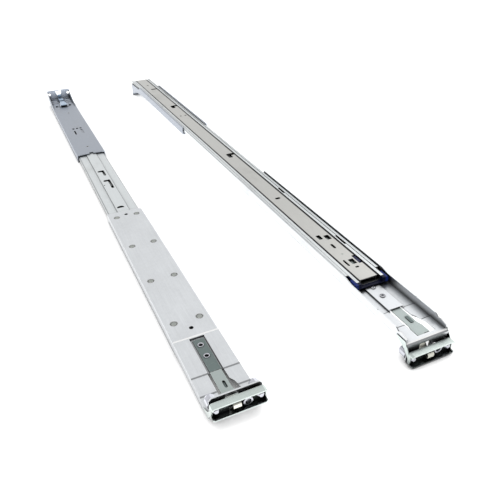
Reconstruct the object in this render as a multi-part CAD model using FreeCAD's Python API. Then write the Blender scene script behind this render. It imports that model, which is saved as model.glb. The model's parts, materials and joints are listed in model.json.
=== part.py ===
"""A pair of ball-bearing slides that carry a one-unit server in a rack.

Both slides lie flat with their front ends towards -Y.  The left one has its outer
face up, the right one is its mirror image and has its inner face up.  Each slide is
modelled once in its own frame and then placed: X across the slide, Y along it, and
Z, called the outward direction below, from the server towards the rack's side.  The
outer face of the channel sheet is the plane Z = 0 of that frame.
"""
import FreeCAD, Part
import math
import os

V = FreeCAD.Vector

# ---------------------------------------------------------------- driving sizes
SHEET = 1.2                 # channel sheet of both brackets
HALF_WIDTH = 19.0           # half the width of the bracket channels
CHANNEL_DEPTH = 10.1        # outer face to the free edge of the channel walls
HOLE_PITCH = 31.75          # the outer two holes of one rack unit
PIN_HEIGHT = 8.75          # rack holes above the outer face
RIVET_STEP = 66.0           # pairs of rivets along the front bracket
RIVET_HALF = 10.9           # half the spacing of a pair
RIVET_PAIRS = 4
RIVET_HEAD = 3.3

BRACKET_REAR = 12.0         # rear edge of the front bracket
PLATE_FRONT = -218.5        # the riveted plate steps down here
JOGGLE = -261.0             # front end of the spring recess
NOSE_STEP = -278.5          # the nose steps down here
FLANGE_FACE = -298.4        # front face of the front flange
FLANGE_TOP = 16.0           # outward reach of both flanges
POST_GAP = 2.2              # gap that takes the sheet of the rack post
CAP_BACK = FLANGE_FACE - POST_GAP
CAP_DEPTH = 5.4
CAP_HALF = 19.6
CAP_LOW = 3.0
CAP_TOP = 14.6
SCREW_X = 6.4
SCREW_HEIGHT = 7.6
LATCH_AXIS_Y = -260.0       # bending line of the front latch

CABINET_FRONT = -213.0
SLIDE_REAR = 500.0
CABINET_HALF = 17.3
CABINET_FACE = -1.4         # top of the centre rib
CABINET_SHOULDER = -2.2     # either side of the rib
CABINET_EDGE = -9.0

MIDDLE_FRONT = -225.0
MIDDLE_HALF = 11.6
MIDDLE_FACE = -3.7
INNER_FRONT = -222.5
INNER_HALF = 10.0
INNER_WALL = 8.2
INNER_FACE = -8.6

REAR_BRACKET_FRONT = 203.5
REAR_SLEEVE_END = 441.0
REAR_FLANGE_FACE = 498.0
REAR_HOLE_HEIGHT = 9.5
REAR_LATCH_AXIS = (446.0, 2.9)
REAR_TRAVEL = 90.0          # the rear bracket slides out by this much

OUTER_BALL = 1.9            # ball radii
INNER_BALL = 1.0
BALLS_PER_SIDE = 5

SPACING = 150.0             # between the two slides
RIGHT_SHIFT = -9.4          # the right slide lies a little further forward
LEFT_FACE_HEIGHT = CHANNEL_DEPTH
RIGHT_FACE_HEIGHT = FLANGE_TOP
MIDDLE_OF_LENGTH = 0.5 * (SLIDE_REAR + CAP_BACK - CAP_DEPTH + RIGHT_SHIFT)


# ---------------------------------------------------------------- small helpers
def block(x0, x1, y0, y1, z0, z1):
    """A box between two corners."""
    return Part.makeBox(x1 - x0, y1 - y0, z1 - z0, V(x0, y0, z0))


def rod(radius, start, end):
    """A cylinder from one point to another."""
    axis = end.sub(start)
    return Part.makeCylinder(radius, axis.Length, start, axis)


def ring_points(radius, sides):
    """Corners of a regular polygon about the origin, as (a, b) pairs."""
    step = 2.0 * math.pi / sides
    return [(radius * math.cos(i * step), radius * math.sin(i * step)) for i in range(sides)]


def upright(radius, x, y, z0, z1):
    """A round prism along Z, faceted as finely as so small a hole or rivet needs."""
    sides = 12 if radius > 1.2 else 8
    return plan_plate([(x + a, y + b) for a, b in ring_points(radius, sides)], z0, z1)


def pivot(radius, x, y, z0, z1):
    """A true cylinder along Z, for what turns."""
    return Part.makeCylinder(radius, z1 - z0, V(x, y, z0), V(0, 0, 1))


def turned(profile, place, sides=12, closed=False):
    """A turned solid of flat faces from (radius, height) pairs; radius 0 is a pole.

    The function place turns (a, b, height) into a point.  A closed profile joins its
    last pair to its first, as a cup or a ring needs.
    """
    rings = []
    for radius, height in profile:
        corners = ring_points(radius, sides) if radius > 0 else [(0.0, 0.0)]
        rings.append([place(a, b, height) for a, b in corners])
    pairs = list(zip(rings, rings[1:]))
    if closed:
        pairs.append((rings[-1], rings[0]))
    faces = []
    for low, high in pairs:
        if len(low) + len(high) == 2:
            continue
        for i in range(sides):
            after = (i + 1) % sides
            corners = [low[i % len(low)]]
            if len(low) > 1:
                corners.append(low[after])
            corners.append(high[after % len(high)])
            if len(high) > 1:
                corners.append(high[i])
            faces.append(Part.Face(Part.makePolygon(corners + corners[:1])))
    solid = Part.Solid(Part.makeShell(faces))
    return solid if solid.Volume > 0 else solid.reversed()


def along_y(x, z):
    """Puts a turned piece on the axis that runs along Y through (x, z)."""
    return lambda a, b, height: V(x + a, height, z + b)


def along_z(x, y):
    """Puts a turned piece on the axis that runs along Z through (x, y)."""
    return lambda a, b, height: V(x + a, y + b, height)


def slot_cut(x0, x1, y0, y1, z0, z1):
    """A slot with round ends, along its longer side."""
    wide = x1 - x0
    tall = y1 - y0
    radius = 0.5 * min(wide, tall)
    if tall >= wide:
        body = block(x0, x1, y0 + radius, y1 - radius, z0, z1)
        ends = [(x0 + radius, y0 + radius), (x0 + radius, y1 - radius)]
    else:
        body = block(x0 + radius, x1 - radius, y0, y1, z0, z1)
        ends = [(x0 + radius, y0 + radius), (x1 - radius, y0 + radius)]
    for x, y in ends:
        body = body.fuse(upright(radius, x, y, z0, z1))
    return body


def plan_plate(outline, z0, z1):
    """A flat plate from an outline of (x, y) points."""
    points = [V(x, y, z0) for x, y in outline]
    face = Part.Face(Part.makePolygon(points + points[:1]))
    return face.extrude(V(0, 0, z1 - z0))


def section_bar(outline, y0, y1):
    """A bar along Y from an outline of (x, z) points."""
    points = [V(x, y0, z) for x, z in outline]
    face = Part.Face(Part.makePolygon(points + points[:1]))
    return face.extrude(V(0, y1 - y0, 0))


def side_sheet(outline, x0, x1):
    """A sheet across X from an outline of (y, z) points."""
    points = [V(x0, y, z) for y, z in outline]
    face = Part.Face(Part.makePolygon(points + points[:1]))
    return face.extrude(V(x1 - x0, 0, 0))


def round_long_edges(shape, corners, radius):
    """Round the edges along Y that pass through the given (x, z) corners."""
    chosen = []
    for edge in shape.Edges:
        ends = [vertex.Point for vertex in edge.Vertexes]
        if len(ends) != 2 or abs(ends[0].y - ends[1].y) < 1.0:
            continue
        for x, z in corners:
            if all(math.hypot(p.x - x, p.z - z) < 0.01 for p in ends):
                chosen.append(edge)
    return shape.makeFillet(radius, chosen)


def mirrored(points):
    """Both halves of an outline that is given for x > 0, as one closed list."""
    return points + [(-x, z) for x, z in reversed(points)]


def union(shapes):
    """All the shapes as one solid."""
    result = shapes[0]
    for shape in shapes[1:]:
        result = result.fuse(shape)
    return result.removeSplitter()


# ---------------------------------------------------------------- front bracket
def front_bracket():
    """Channel that carries the slide, with a stepped nose and a flange for the rack post."""
    step_plate = 0.4
    step_joggle = 0.3
    step_nose = 0.8
    ramp = 1.2
    nose_front = FLANGE_FACE + SHEET
    bend = 2.4
    top = [
        (BRACKET_REAR, 0.0),
        (PLATE_FRONT, 0.0),
        (PLATE_FRONT - ramp, -step_plate),
        (JOGGLE, -step_plate),
        (JOGGLE - step_joggle, -step_plate - step_joggle),
        (NOSE_STEP, -step_plate - step_joggle),
        (NOSE_STEP - ramp, -step_plate - step_nose),
        (FLANGE_FACE + bend, -step_plate - step_nose),
        (FLANGE_FACE + SHEET + 0.5, -step_plate - step_nose + 0.5),
        (nose_front, 0.6),
        (nose_front, FLANGE_TOP),
        (FLANGE_FACE, FLANGE_TOP),
        (FLANGE_FACE, -1.2),
        (FLANGE_FACE + 1.1, -step_plate - step_nose - SHEET + 0.4),
        (FLANGE_FACE + bend, -step_plate - step_nose - SHEET),
        (NOSE_STEP - ramp, -step_plate - step_nose - SHEET),
        (NOSE_STEP, -step_plate - step_joggle - SHEET),
        (JOGGLE - step_joggle, -step_plate - step_joggle - SHEET),
        (JOGGLE, -step_plate - SHEET),
        (PLATE_FRONT - ramp, -step_plate - SHEET),
        (PLATE_FRONT, -SHEET),
        (BRACKET_REAR, -SHEET),
    ]
    web = side_sheet(top, -HALF_WIDTH, HALF_WIDTH)
    wall_line = [
        (BRACKET_REAR, 0.0),
        (PLATE_FRONT, 0.0),
        (PLATE_FRONT - ramp, -step_plate),
        (JOGGLE, -step_plate),
        (JOGGLE - step_joggle, -step_plate - step_joggle),
        (NOSE_STEP, -step_plate - step_joggle),
        (NOSE_STEP - ramp, -step_plate - step_nose),
        (FLANGE_FACE + bend, -step_plate - step_nose),
        (FLANGE_FACE + bend, -5.4),
        (FLANGE_FACE + 9.0, -7.4),
        (FLANGE_FACE + 12.0, -6.4),
        (FLANGE_FACE + 15.0, -8.4),
        (PLATE_FRONT - 6.0, -8.4),
        (PLATE_FRONT + 2.0, -CHANNEL_DEPTH),
        (BRACKET_REAR, -CHANNEL_DEPTH),
    ]
    left_wall = side_sheet(wall_line, -HALF_WIDTH, -HALF_WIDTH + SHEET)
    right_wall = side_sheet(wall_line, HALF_WIDTH - SHEET, HALF_WIDTH)
    body = union([web, left_wall, right_wall])
    body = round_long_edges(body, [(-HALF_WIDTH, 0.0), (HALF_WIDTH, 0.0)], 1.1)
    # the recess that takes the latch spring, pressed inwards
    recess_half = 6.0
    recess_depth = 1.3
    recess_front = JOGGLE - 0.5
    recess_rear = PLATE_FRONT - 2.0
    pad = block(-recess_half - 0.9, recess_half + 0.9, recess_front, recess_rear + 0.9,
                -step_plate - SHEET - recess_depth, -step_plate - SHEET)
    body = body.fuse(pad)
    body = body.cut(block(-recess_half, recess_half, recess_front - 1.0, recess_rear,
                          -step_plate - recess_depth, 2.0))
    for y in LATCH_RIVETS:
        body = body.cut(upright(1.6, 0.0, y, -4.0, 0.0))
    # the window through which the latch works, and its opening in the flange
    front = NOSE_STEP - 15.0
    window = [(-6.4, LATCH_AXIS_Y + 0.1), (6.0, LATCH_AXIS_Y + 0.1), (6.4, -271.0), (8.6, -275.0), (10.6, -283.0),
              (10.6, front), (-6.4, front)]
    body = body.cut(plan_plate(window, -6.0, 2.0))
    body = body.cut(block(-7.6, 1.8, FLANGE_FACE - 1.0, FLANGE_FACE + 3.0, 0.9, 13.2))
    # rack holes, screw hole, centre holes and rivet holes
    hole = through_hole(3.05, FLANGE_FACE - 1.0, FLANGE_FACE + 3.0)
    for x in (-0.5 * HOLE_PITCH, 0.5 * HOLE_PITCH):
        body = body.cut(turned(hole, along_y(x, PIN_HEIGHT)))
    clearance = through_hole(2.6, FLANGE_FACE - 1.0, FLANGE_FACE + 3.0)
    body = body.cut(turned(clearance, along_y(SCREW_X, SCREW_HEIGHT)))
    for y in (3.4, -208.7):
        body = body.cut(upright(1.9, 0.1, y, -3.0, 2.0))
    for x, y in rivet_places():
        body = body.cut(upright(RIVET_HEAD, x, y, -3.0, 2.0))
    # chamfered rear corner of the plate and rounded top corners of the flange
    corner = plan_plate([(HALF_WIDTH + 1, BRACKET_REAR - 4.5), (HALF_WIDTH + 1, BRACKET_REAR + 1),
                         (HALF_WIDTH - 5.0, BRACKET_REAR + 1)], -SHEET - 0.01, 1.0)
    body = body.cut(corner)
    return trim_flange_top(body, FLANGE_FACE - 1, FLANGE_FACE + 3, 2.0)


def through_hole(radius, start, end):
    """Profile of a plain round hole for turned()."""
    return [(0.0, start), (radius, start), (radius, end), (0.0, end)]


def trim_flange_top(body, y0, y1, size):
    """Cut the two top corners of a flange off at 45 degrees."""
    wide = HALF_WIDTH + 1.0
    high = FLANGE_TOP + 1.0
    for side in (-1, 1):
        cut = [(side * wide, high), (side * wide, high - size - 2.0), (side * (wide - size - 2.0), high)]
        body = body.cut(section_bar(cut, y0, y1))
    return body


def rivet_places():
    """Centres of the rivets that hold the bracket to the cabinet member."""
    places = []
    for pair in range(RIVET_PAIRS):
        for side in (-1, 1):
            places.append((side * RIVET_HALF, -pair * RIVET_STEP))
    return places


def bracket_rivets():
    """Flush rivets, one solid each: head in the bracket, shank through the cabinet member."""
    rivets = []
    for x, y in rivet_places():
        head = upright(RIVET_HEAD, x, y, -SHEET, 0.08)
        shank = upright(1.55, x, y, CABINET_SHOULDER - SHEET, -SHEET)
        rivets.append(head.fuse(shank).removeSplitter())
    return Part.makeCompound(rivets)


def front_cap():
    """Tray in front of the flange: two long lips point forward, two straps hold it."""
    back = CAP_BACK
    front = CAP_BACK - CAP_DEPTH
    sheet = 0.9
    tray = block(-CAP_HALF, CAP_HALF, front, back, CAP_LOW, CAP_TOP)
    corners = [(-CAP_HALF, CAP_LOW), (CAP_HALF, CAP_LOW), (-CAP_HALF, CAP_TOP), (CAP_HALF, CAP_TOP)]
    tray = round_long_edges(tray, corners, 1.9)
    x_in = CAP_HALF - sheet
    low = CAP_LOW + sheet
    high = CAP_TOP - sheet
    hollow = block(-x_in, x_in, front - 1.0, back - SHEET, low, high)
    inner = [(-x_in, low), (x_in, low), (-x_in, high), (x_in, high)]
    tray = tray.cut(round_long_edges(hollow, inner, 1.1))
    # the ends are cut back behind the lips
    for side in (-1, 1):
        ends = sorted((side * (CAP_HALF - 2.4), side * (CAP_HALF + 1.0)))
        tray = tray.cut(block(ends[0], ends[1], front - 1.0, back - 2.6, low + 1.1, high - 1.1))
    hole = through_hole(3.05, back - 3.0, back + 1.0)
    for x in (-0.5 * HOLE_PITCH, 0.5 * HOLE_PITCH):
        tray = tray.cut(turned(hole, along_y(x, PIN_HEIGHT)))
    tray = tray.cut(turned(through_hole(3.0, back - 3.0, back + 1.0), along_y(SCREW_X, SCREW_HEIGHT)))
    tray = tray.cut(block(-6.6, 1.8, back - 3.0, back + 1.0, 4.4, 12.8))
    strap_line = [
        (back - 0.6, CAP_LOW + 1.4),
        (back - 0.6, CAP_LOW + 6.0),
        (back + 5.0, 2.6),
        (back + 12.6, -1.2),
        (back + 14.6, -4.0),
        (back + 5.0, -4.0),
    ]
    straps = []
    for side in (-1, 1):
        ends = sorted((side * HALF_WIDTH, side * CAP_HALF))
        straps.append(side_sheet(strap_line, ends[0], ends[1]))
    return union([tray] + straps)


def pin_housings():
    """Two domed sleeves behind the flange, each with a sprung pin inside."""
    start = FLANGE_FACE + SHEET
    end = FLANGE_FACE + 9.6
    profile = [(3.1, start), (3.9, start), (3.9, end - 2.4), (3.2, end - 0.9), (1.6, end), (0.0, end),
               (0.0, end - 0.9), (3.1, end - 1.6)]
    housings = [turned(profile, along_y(x, PIN_HEIGHT), 12, True) for x in (-0.5 * HOLE_PITCH, 0.5 * HOLE_PITCH)]
    return Part.makeCompound(housings)


def locating_pin(side):
    """Sprung pin that enters a square hole of the rack post."""
    tip = CAP_BACK - 3.2
    tail = FLANGE_FACE + 1.8
    profile = [(0.0, tail), (2.9, tail), (2.9, tip + 1.3), (1.5, tip), (0.0, tip)]
    return turned(profile, along_y(side * 0.5 * HOLE_PITCH, PIN_HEIGHT))


def screw_bushing():
    """Threaded bushing pressed into the cap, for the server's captive screw."""
    back = CAP_BACK
    outside = [(0.0, back), (3.0, back), (3.0, back - SHEET), (3.5, back - SHEET), (3.5, back - 2.8),
               (0.0, back - 2.8)]
    body = turned(outside, along_y(SCREW_X, SCREW_HEIGHT))
    bore = rod(2.2, V(SCREW_X, back + 1.0, SCREW_HEIGHT), V(SCREW_X, back - 5.0, SCREW_HEIGHT))
    return body.cut(bore)


# ---------------------------------------------------------------- front latch
LATCH_SEAT = -1.7           # floor of the recess
LATCH_SHEET = 0.8
LATCH_RIVETS = (-229.9, -242.8)


def latch_spring():
    """Root of the flat latch spring, riveted in the recess."""
    low = LATCH_SEAT
    high = LATCH_SEAT + LATCH_SHEET
    strip = block(-4.2, 4.8, LATCH_AXIS_Y + 0.2, -223.0, low, high)
    for y in LATCH_RIVETS:
        strip = strip.cut(upright(1.6, 0.0, y, low - 1, high + 1))
    return strip


def latch_rivets():
    """Two tubular rivets: a flanged head over the spring, a rolled tail inside."""
    top = LATCH_SEAT + LATCH_SHEET
    tail = -3.5
    profile = [(1.1, tail), (2.2, tail), (2.2, tail + 0.4), (1.55, tail + 0.4), (1.55, top), (2.9, top),
               (2.7, top + 0.5), (1.3, top + 0.5)]
    return Part.makeCompound([turned(profile, along_z(0.0, y), 12, True) for y in LATCH_RIVETS])


def latch_tongue():
    """Free end of the latch: it works in the window and turns outwards at the flange."""
    low = LATCH_SEAT
    high = LATCH_SEAT + LATCH_SHEET
    strip = plan_plate([(-4.4, LATCH_AXIS_Y - 0.2), (4.4, LATCH_AXIS_Y - 0.2), (4.6, -279.5), (6.0, -284.0),
                        (6.0, -292.2), (-5.2, -292.2), (-5.2, -284.5), (-4.4, -281.0)], low, high)
    strip = strip.cut(slot_cut(0.0, 2.3, -278.6, -271.2, low - 1, high + 1))
    heel = block(-4.8, 0.8, -293.0, -292.2, low, 6.6)
    return union([strip, heel])


def latch_hook():
    """Hook that closes behind the edge of the rack post: a J in side view."""
    outline = [
        (-293.0, 4.2), (-293.0, 6.6), (-296.0, 9.0), (-300.0, 11.4), (-303.6, 12.0), (-305.4, 10.6),
        (-305.7, 8.2), (-304.6, 6.7), (-302.8, 7.2), (-303.6, 8.6), (-303.3, 9.6), (-301.0, 9.2),
        (-297.4, 7.0), (-295.0, 4.2),
    ]
    return side_sheet(outline, -4.8, 0.8)


# ---------------------------------------------------------------- slide members
def cabinet_member():
    """Outer raceway: a channel with a raised centre rib and lips turned inwards."""
    rib_half = 6.4
    wall = CABINET_HALF - SHEET
    half = [
        (rib_half, CABINET_FACE),
        (rib_half + 0.6, CABINET_SHOULDER),
        (CABINET_HALF, CABINET_SHOULDER),
        (CABINET_HALF, CABINET_EDGE),
        (13.9, CABINET_EDGE),
        (13.9, CABINET_EDGE + 1.1),
        (wall, CABINET_EDGE + 1.1),
        (wall, CABINET_SHOULDER - SHEET),
        (rib_half, CABINET_SHOULDER - SHEET),
        (rib_half - 0.6, CABINET_FACE - SHEET),
    ]
    body = section_bar(mirrored(half), CABINET_FRONT, SLIDE_REAR)
    body = round_long_edges(body, [(CABINET_HALF, CABINET_SHOULDER), (-CABINET_HALF, CABINET_SHOULDER)], 2.2)
    body = round_long_edges(body, [(CABINET_HALF, CABINET_EDGE), (-CABINET_HALF, CABINET_EDGE)], 0.9)
    deep = (-3.6, 0.0)
    body = body.cut(slot_cut(-4.6, 3.6, 134.6, 139.4, *deep))
    body = body.cut(slot_cut(0.6, 3.6, 121.5, 139.4, *deep))
    body = body.cut(slot_cut(-3.8, 3.0, 102.6, 107.4, *deep))
    body = body.cut(slot_cut(1.4, 4.6, 80.5, 107.4, *deep))
    body = body.cut(upright(1.0, -5.0, 92.4, *deep))
    for x, y in ((0.7, 232.4), (0.9, 403.9)):
        body = body.cut(slot_cut(x - 1.6, x + 1.6, y - 1.6, y + REAR_TRAVEL + 1.6, *deep))
    body = body.cut(block(-7.0, 7.4, 289.0, 322.0, *deep))
    moon = upright(4.2, -0.9, 25.0, *deep).cut(block(-6, 4, 20.0, 24.4, -4, 1))
    body = body.cut(moon)
    for x, y in rivet_places():
        body = body.cut(upright(1.55, x, y, -5.0, 0.0))
    for y in (3.4, -208.7):
        body = body.cut(upright(1.5, 0.1, y, -5.0, 0.0))
    return body


def middle_member():
    """Intermediate member: a channel whose lips turn outwards towards the cabinet member's."""
    sheet = 0.9
    edge = -8.8
    lip = 13.4
    half = [
        (MIDDLE_HALF, MIDDLE_FACE),
        (MIDDLE_HALF, edge + 0.8),
        (lip, edge + 0.8),
        (lip, edge),
        (MIDDLE_HALF - 1.0, edge),
        (MIDDLE_HALF - 1.0, MIDDLE_FACE - sheet),
    ]
    body = section_bar(mirrored(half), MIDDLE_FRONT, SLIDE_REAR - 2.0)
    body = round_long_edges(body, [(MIDDLE_HALF, MIDDLE_FACE), (-MIDDLE_HALF, MIDDLE_FACE)], 0.8)
    for y in (-180.0, 60.0, 300.0):
        body = body.cut(slot_cut(-5.0, 5.0, y, y + 34.0, -6.0, -2.0))
    for y0, y1 in ((-49.0, -35.0), (-169.0, -152.0)):
        body = body.cut(block(MIDDLE_HALF + 0.1, 15.0, y0, y1, edge - 1.0, edge + 1.0))
    return body


def end_guide():
    """Moulded guide on the front end of the intermediate member, with two long rub strips."""
    front = MIDDLE_FRONT - 3.4
    rear = CABINET_FRONT - 6.3
    half = 16.2
    rim = block(-half, half, front, rear, -8.7, MIDDLE_FACE - 0.1)
    rim = round_long_edges(rim, [(-half, -8.7), (half, -8.7)], 1.4)
    rim = rim.cut(block(-MIDDLE_HALF - 1.85, MIDDLE_HALF + 1.85, MIDDLE_FRONT, rear + 1, -9.6, -3.0))
    rim = rim.cut(block(-10.6, 10.6, front - 1, rear + 1, -9.6, -4.7))
    pieces = [rim]
    for side in (-1, 1):
        ends = sorted((side * (MIDDLE_HALF + 0.02), side * 13.5))
        pieces.append(block(ends[0], ends[1], MIDDLE_FRONT, -196.0, -7.95, -7.2))
    return union(pieces)


def inner_member():
    """Member that the server hooks on: a plate with short walls and keyed openings."""
    sheet = 1.0
    half = [
        (INNER_HALF, INNER_FACE),
        (INNER_HALF, INNER_FACE + sheet),
        (INNER_WALL, INNER_FACE + sheet),
        (INNER_WALL, -4.9),
        (INNER_WALL - 1.0, -4.9),
        (INNER_WALL - 1.0, INNER_FACE + sheet),
    ]
    body = section_bar(mirrored(half), INNER_FRONT, SLIDE_REAR)
    deep = (INNER_FACE - 1.0, INNER_FACE + 2.0)
    through = (INNER_FACE - 1.0, -3.0)
    # keyed openings, open to the upper edge, that take the server's shoulder pins
    for y in (82.0, 314.0):
        body = body.cut(block(2.0, INNER_HALF + 1, y - 3.0, y + 3.0, *through))
        body = body.cut(slot_cut(-1.2, 4.4, y - 11.0, y + 3.0, *deep))
    body = body.cut(upright(1.6, -2.0, 260.0, *deep))
    body = body.cut(upright(1.6, 5.6, 260.0, *deep))
    body = body.cut(slot_cut(-1.2, 10.9, 424.0, 429.0, *deep))
    body = body.cut(upright(1.8, 0.6, 455.0, *deep))
    body = body.cut(slot_cut(-2.6, 3.6, -58.8, -55.2, *deep))
    body = body.cut(block(-4.6, -0.6, -152.0, -144.0, *deep))
    body = body.cut(block(2.0, 7.0, -155.0, -147.0, *deep))
    body = body.cut(slot_cut(-0.6, 2.0, -171.0, -163.0, *deep))
    body = body.cut(block(-0.4, 4.6, -200.0, -192.0, *deep))
    body = body.cut(slot_cut(-5.2, -3.2, -201.0, -191.0, *deep))
    body = body.cut(slot_cut(-1.0, 3.0, -206.0, -203.8, *deep))
    body = body.cut(block(6.0, INNER_HALF + 1, -201.0, -188.0, *through))
    return body.cut(pivot(1.3, RELEASE_PIVOT[0], RELEASE_PIVOT[1], *deep))


RELEASE_PIVOT = (0.7, -182.0)


def release_lever():
    """Flat lever under the inner plate that frees the slide."""
    outline = [(-3.0, -143.0), (4.6, -143.0), (5.2, -150.0), (3.6, -158.0), (3.8, -172.0), (5.4, -184.0),
               (6.4, -189.0), (6.4, -199.0), (-2.4, -202.0), (-3.0, -184.0), (-2.6, -158.0), (-4.0, -150.0)]
    lever = plan_plate(outline, -6.7, -5.7)
    return lever.cut(pivot(1.36, RELEASE_PIVOT[0], RELEASE_PIVOT[1], -8.0, -4.0))


def release_tab():
    """Moulded finger tab on the lever, standing in the notch of the inner member."""
    tab = block(6.4, 9.4, -199.2, -189.8, -8.5, -5.2)
    return round_long_edges(tab, [(9.4, -8.5), (9.4, -5.2)], 0.8)


def release_pivot():
    """Rivet that the lever turns on."""
    x, y = RELEASE_PIVOT
    rivet = pivot(1.3, x, y, INNER_FACE, -5.4)
    head = upright(2.2, x, y, -5.4, -4.95)
    return rivet.fuse(head).removeSplitter()


# ---------------------------------------------------------------- balls and cages
def ball_places(y0, y1):
    """Ball centres spread evenly between the two ends of a cage."""
    step = (y1 - y0) / BALLS_PER_SIDE
    return [y0 + (index + 0.5) * step for index in range(BALLS_PER_SIDE)]


def cage(half, z, radius, y0, y1, thick):
    """Two retainer strips, one on each side, with an eight-sided hole for each ball."""
    strips = []
    for side in (-1, 1):
        x = side * half
        strip = block(x - 0.5 * thick, x + 0.5 * thick, y0, y1, z - radius - 0.2, z + radius + 0.2)
        for y in ball_places(y0, y1):
            outline = [(y + a, z + b) for a, b in ring_points(radius + 0.15, 8)]
            strip = strip.cut(side_sheet(outline, x - 2, x + 2))
        strips.extend(strip.Solids)
    return Part.makeCompound(strips)


def ball(radius, x, y, z):
    """A ball as a solid of flat faces: two rings of corners between two poles."""
    profile = [(0.0, z - radius)]
    for level in (-0.5, 0.5):
        profile.append((radius * math.sqrt(1.0 - level * level), z + radius * level))
    profile.append((0.0, z + radius))
    return turned(profile, along_z(x, y), 8)


def balls(half, z, radius, y0, y1):
    """The balls of one cage, one solid each."""
    solids = []
    for side in (-1, 1):
        for y in ball_places(y0, y1):
            solids.append(ball(radius, side * half, y, z))
    return Part.makeCompound(solids)


OUTER_CAGE = (13.85, -5.65, OUTER_BALL, -40.0, 240.0)
INNER_CAGE = (9.4, -6.2, INNER_BALL, -45.0, 245.0)


# ---------------------------------------------------------------- rear bracket
def rear_bracket():
    """Sleeve that slides on the cabinet member, with a flange for the rear post."""
    front = REAR_BRACKET_FRONT
    rear = REAR_FLANGE_FACE
    end = REAR_SLEEVE_END
    lip = CHANNEL_DEPTH - 0.8
    half = [
        (HALF_WIDTH, 0.0),
        (HALF_WIDTH, -CHANNEL_DEPTH),
        (16.4, -CHANNEL_DEPTH),
        (16.4, -lip),
        (HALF_WIDTH - SHEET, -lip),
        (HALF_WIDTH - SHEET, -SHEET),
    ]
    sleeve = section_bar(mirrored(half), front, end)
    sleeve = round_long_edges(sleeve, [(-HALF_WIDTH, 0.0), (HALF_WIDTH, 0.0)], 1.1)
    web_line = [(end, 0.0), (rear - 2.0, 0.0), (rear - SHEET, 0.8), (rear - SHEET, FLANGE_TOP),
                (rear, FLANGE_TOP), (rear, 0.3), (rear - 1.5, -SHEET), (end, -SHEET)]
    web = side_sheet(web_line, -HALF_WIDTH, HALF_WIDTH)
    gussets = []
    for side in (-1, 1):
        ends = sorted((side * HALF_WIDTH, side * (HALF_WIDTH - SHEET)))
        outline = [(end - 16.0, -0.6), (end + 20.0, 2.6), (rear - 0.6, 13.0), (rear - 0.6, -5.0),
                   (end, -7.0), (end - 16.0, -7.0)]
        gussets.append(side_sheet(outline, ends[0], ends[1]))
    ribs = []
    for side in (-1, 1):
        for y in (end + 31.0, end + 42.0):
            ends = sorted((side * 6.6, side * (HALF_WIDTH - SHEET)))
            outline = [(y - 1.8, 0.0), (y - 0.8, 1.5), (y + 0.8, 1.5), (y + 1.8, 0.0)]
            ribs.append(side_sheet(outline, ends[0], ends[1]))
    lugs = []
    axis_y, axis_z = REAR_LATCH_AXIS
    for x in (-5.9, 5.9):
        outline = [(axis_y - 3.5, 0.0), (axis_y - 2.0, axis_z + 1.9), (axis_y + 2.0, axis_z + 1.9),
                   (axis_y + 3.5, 0.0)]
        lugs.append(side_sheet(outline, x - 0.6, x + 0.6))
    body = union([sleeve, web] + gussets + ribs + lugs)
    body = body.cut(rod(1.1, V(-7, axis_y, axis_z), V(7, axis_y, axis_z)))
    for x in (-0.5 * HOLE_PITCH, 0.5 * HOLE_PITCH):
        body = body.cut(rod(2.2, V(x, rear - 5, REAR_HOLE_HEIGHT), V(x, rear + 1, REAR_HOLE_HEIGHT)))
    window = [(-2.9, 6.6), (2.9, 6.6), (5.4, FLANGE_TOP - 1.3), (-5.4, FLANGE_TOP - 1.3)]
    body = body.cut(section_bar(window, rear - 4.0, rear + 1))
    for x0, x1, y0, y1 in ((-13.2, -9.6, 5.0, 13.0), (8.8, 12.4, 5.0, 13.0), (-10.4, -7.4, 34.4, 38.0),
                           (7.8, 13.8, 34.4, 38.0), (-16.6, -11.4, 46.2, 49.8), (10.6, 16.0, 46.2, 49.8)):
        body = body.cut(block(x0, x1, end + y0, end + y1, -3.0, 2.0))
    body = body.cut(upright(1.9, 0.9, 403.9, -3.0, 2.0))
    body = body.cut(upright(1.9, 0.7, 232.4, -3.0, 2.0))
    # lanced tab: three square windows behind a slot and a pressed recess
    for x in (-5.2, 0.4, 5.6):
        body = body.cut(block(x - 1.5, x + 1.5, 315.5, 320.5, -3.0, 2.0))
    body = body.cut(slot_cut(-6.2, -4.0, 290.5, 308.0, -3.0, 2.0))
    body = body.cut(block(3.9, 7.2, 292.0, 311.0, -0.5, 2.0))
    body = body.cut(block(-1.6, 3.4, front - 1, front + 4.0, -3.0, 2.0))
    return trim_flange_top(body, rear - 3.0, rear + 1, 0.8)


def rear_latch():
    """Sprung lever on a cross pin: its catch stands behind the rear post."""
    y, z = REAR_LATCH_AXIS
    hub = rod(2.2, V(-5.1, y, z), V(5.1, y, z))
    arm = plan_plate([(-5.0, y), (5.0, y), (5.4, y + 9.0), (3.4, y + 17.0), (3.8, 491.0), (-3.8, 491.0),
                      (-3.4, y + 17.0), (-5.4, y + 9.0)], z - 0.5, z + 0.7)
    nose = block(-3.0, 3.0, 490.0, 492.0, z - 0.5, 9.6)
    pad = block(-3.6, 3.6, y + 24.0, y + 35.0, z + 0.7, z + 1.7)
    body = union([hub, arm, nose, pad])
    return body.cut(rod(1.15, V(-7, y, z), V(7, y, z)))


def rear_latch_pin():
    """Cross pin of the rear latch."""
    y, z = REAR_LATCH_AXIS
    return rod(1.1, V(-6.9, y, z), V(6.9, y, z))


def guide_studs():
    """Two shouldered studs of the sleeve that run in the slots of the cabinet member."""
    studs = []
    for x, y in ((0.7, 232.4), (0.9, 403.9)):
        head = upright(1.9, x, y, -SHEET, 0.05)
        shank = upright(1.3, x, y, -2.5, -SHEET)
        socket = upright(1.1, x, y, -1.9, 1.0)
        studs.append(head.fuse(shank).removeSplitter().cut(socket))
    return Part.makeCompound(studs)


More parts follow.
